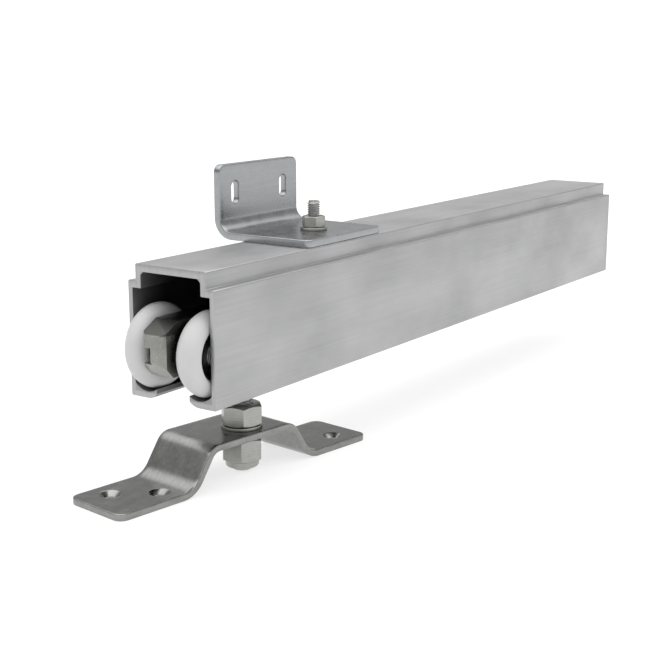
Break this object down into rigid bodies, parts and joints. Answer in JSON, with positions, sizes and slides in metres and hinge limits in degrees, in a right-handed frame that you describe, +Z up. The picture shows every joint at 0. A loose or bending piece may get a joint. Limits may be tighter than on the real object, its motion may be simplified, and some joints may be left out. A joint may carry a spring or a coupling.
{
  "type": "sliding door track and hanger",
  "caption": "Box track on a wall bracket with a wheeled truck inside and a cranked door plate on a height-adjustable pendant bolt.",
  "frame": {"origin": "on the bracket's wall face, midway between its two slots", "axes": "+Y along the track away from the end that shows the truck, +Z up, +X out from the wall"},
  "size_m": [0.058, 0.4344, 0.1321],
  "materials": {
    "track_aluminium": "mill finish with fine lines along the extrusion",
    "zinc_sheet": "zinc-plated sheet",
    "plate_steel": "darker rolled and plated steel",
    "white_nylon": "moulded white nylon",
    "locking_nylon": "natural nylon",
    "bush_bronze": "sintered bronze",
    "truck_steel": "plated steel bar",
    "bearing_steel": "ground and pressed steel",
    "nut_zinc": "zinc-plated",
    "bolt_zinc": "zinc-plated"
  },
  "bodies": {
    "root": {"track_extrusion": "track_aluminium", "wall_bracket": "zinc_sheet", "bracket_bolt": "bolt_zinc", "bracket_washer": "bolt_zinc", "bracket_nut": "nut_zinc"},
    "truck": {"truck_body": "truck_steel", "pendant_bush": "bush_bronze", "axle_front": "bolt_zinc", "axle_rear": "bolt_zinc", "spacer_front_left": "bolt_zinc", "axle_ring_front_left": "bolt_zinc", "bearing_inner_front_left": "bearing_steel", "spacer_front_right": "bolt_zinc", "axle_ring_front_right": "bolt_zinc", "bearing_inner_front_right": "bearing_steel", "spacer_rear_left": "bolt_zinc", "axle_ring_rear_left": "bolt_zinc", "bearing_inner_rear_left": "bearing_steel", "spacer_rear_right": "bolt_zinc", "axle_ring_rear_right": "bolt_zinc", "bearing_inner_rear_right": "bearing_steel"},
    "wheel_front_left": {"tyre_front_left": "white_nylon", "bearing_outer_front_left": "bearing_steel", "bearing_balls_front_left": "bearing_steel", "bearing_shield_front_left_inward": "bearing_steel", "bearing_shield_front_left_outward": "bearing_steel"},
    "wheel_front_right": {"tyre_front_right": "white_nylon", "bearing_outer_front_right": "bearing_steel", "bearing_balls_front_right": "bearing_steel", "bearing_shield_front_right_inward": "bearing_steel", "bearing_shield_front_right_outward": "bearing_steel"},
    "wheel_rear_left": {"tyre_rear_left": "white_nylon", "bearing_outer_rear_left": "bearing_steel", "bearing_balls_rear_left": "bearing_steel", "bearing_shield_rear_left_inward": "bearing_steel", "bearing_shield_rear_left_outward": "bearing_steel"},
    "wheel_rear_right": {"tyre_rear_right": "white_nylon", "bearing_outer_rear_right": "bearing_steel", "bearing_balls_rear_right": "bearing_steel", "bearing_shield_rear_right_inward": "bearing_steel", "bearing_shield_rear_right_outward": "bearing_steel"},
    "pendant": {"pendant_bolt": "bolt_zinc", "thrust_washer": "bolt_zinc"},
    "door_carrier": {"door_plate": "plate_steel", "upper_washer": "bolt_zinc", "lower_washer": "bolt_zinc"},
    "upper_nut_body": {"upper_nut": "nut_zinc"},
    "lower_nut_body": {"lower_nut": "nut_zinc", "locking_ring": "locking_nylon"}
  },
  "joints": [
    {"name": "truck_travel", "type": "slide", "parent": "root", "child": "truck", "axis": [0, 1, 0], "range_m": [-0.004, 0.285]},
    {"name": "wheel_front_left_spin", "type": "hinge", "parent": "truck", "child": "wheel_front_left", "pos_m": [0.021, -0.093, -0.056], "axis": [1, 0, 0], "continuous": true},
    {"name": "wheel_front_right_spin", "type": "hinge", "parent": "truck", "child": "wheel_front_right", "pos_m": [0.049, -0.093, -0.056], "axis": [1, 0, 0], "continuous": true},
    {"name": "wheel_rear_left_spin", "type": "hinge", "parent": "truck", "child": "wheel_rear_left", "pos_m": [0.021, -0.019, -0.056], "axis": [1, 0, 0], "continuous": true},
    {"name": "wheel_rear_right_spin", "type": "hinge", "parent": "truck", "child": "wheel_rear_right", "pos_m": [0.049, -0.019, -0.056], "axis": [1, 0, 0], "continuous": true},
    {"name": "pendant_swivel", "type": "hinge", "parent": "truck", "child": "pendant", "pos_m": [0.035, -0.056, -0.0775], "axis": [0, 0, 1], "continuous": true},
    {"name": "height_adjust", "type": "slide", "parent": "pendant", "child": "door_carrier", "axis": [0, 0, 1], "range_m": [0, 0.009]},
    {"name": "upper_nut_turn", "type": "hinge", "parent": "door_carrier", "child": "upper_nut_body", "pos_m": [0.035, -0.056, -0.0926], "axis": [0, 0, 1], "range_deg": [0, 2160]},
    {"name": "lower_nut_turn", "type": "hinge", "parent": "door_carrier", "child": "lower_nut_body", "pos_m": [0.035, -0.056, -0.11], "axis": [0, 0, 1], "range_deg": [0, 2160]}
  ],
  "couplings": [
    {"joint": "wheel_front_left_spin", "follows": "truck_travel", "rad_per_m": -54.645},
    {"joint": "wheel_front_right_spin", "follows": "truck_travel", "rad_per_m": -54.645},
    {"joint": "wheel_rear_left_spin", "follows": "truck_travel", "rad_per_m": -54.645},
    {"joint": "wheel_rear_right_spin", "follows": "truck_travel", "rad_per_m": -54.645},
    {"joint": "upper_nut_turn", "follows": "height_adjust", "rad_per_m": 4188.8},
    {"joint": "lower_nut_turn", "follows": "height_adjust", "rad_per_m": 4188.8}
  ]
}
